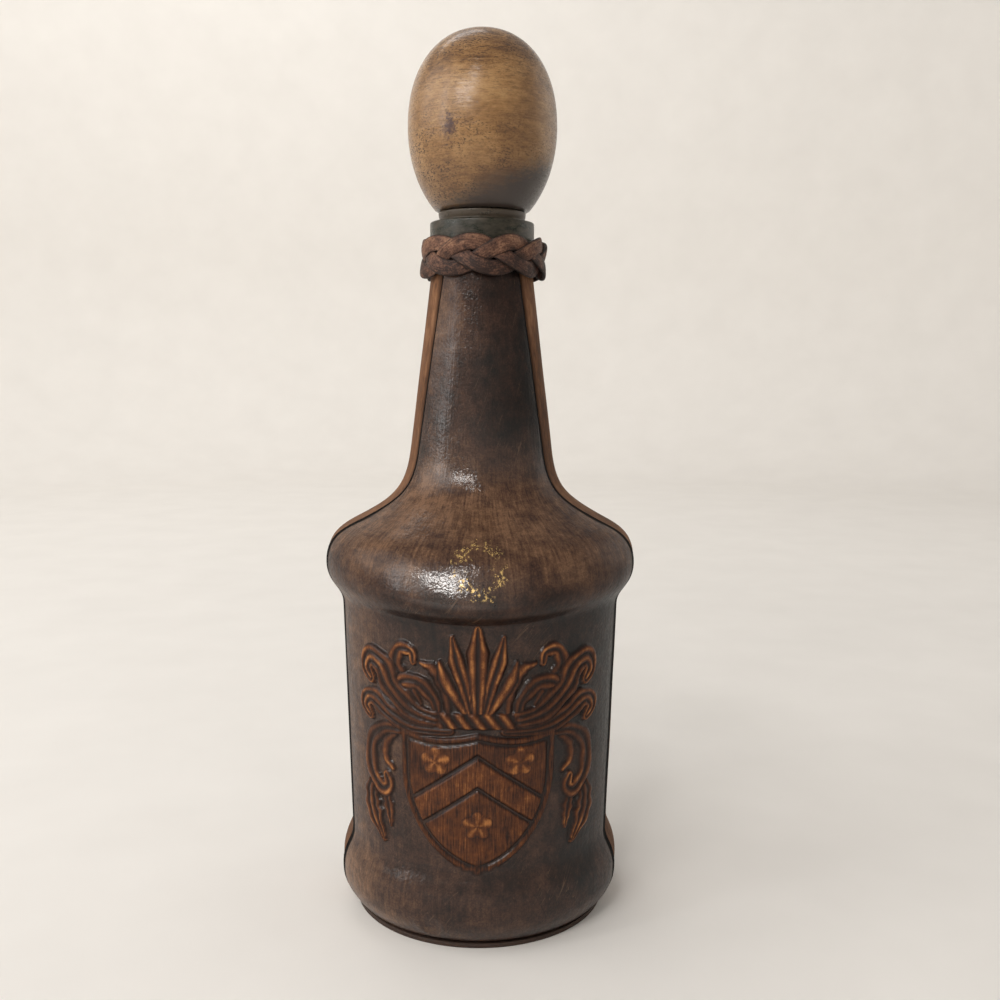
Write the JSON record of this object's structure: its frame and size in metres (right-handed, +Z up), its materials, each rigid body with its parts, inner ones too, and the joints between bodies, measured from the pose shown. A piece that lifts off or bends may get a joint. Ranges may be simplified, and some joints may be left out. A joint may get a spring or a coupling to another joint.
{
  "type": "leather-wrapped decanter",
  "caption": "Round glass decanter covered in moulded leather, with a braided leather collar under the lip and an egg-shaped wooden stopper that pulls out on its cork.",
  "frame": {"origin": "middle of the sole's underside, on the surface that the decanter stands on", "axes": "+Z up along the bottle's axis and the stopper's pull; -Y is the front with the embossed panel; +X is the right side seen from the front"},
  "size_m": [0.0996, 0.1014, 0.28],
  "materials": {
    "bottle_glass": "gloss, dark olive green",
    "panel_leather": "semi-gloss, dark brown antique stain",
    "strip_leather": "matte, tan",
    "sole_leather": "matte, near black",
    "braid_leather": "satin, reddish brown",
    "knob_wood": "satin varnish, honey brown",
    "cork": "matte cork",
    "dowel_wood": "bare wood"
  },
  "bodies": {
    "bottle": {"glass_bottle": "bottle_glass", "leather_front": "panel_leather", "leather_back": "panel_leather", "side_strip_left": "strip_leather", "side_strip_right": "strip_leather", "leather_sole": "sole_leather", "braid_strand_1": "braid_leather", "braid_strand_2": "braid_leather", "braid_strand_3": "braid_leather"},
    "stopper": {"stopper_knob": "knob_wood", "stopper_cork": "cork", "stopper_dowel": "dowel_wood"}
  },
  "joints": [
    {"name": "stopper_pull", "type": "slide", "parent": "bottle", "child": "stopper", "axis": [0, 0, 1], "range_m": [0, 0.06]}
  ]
}
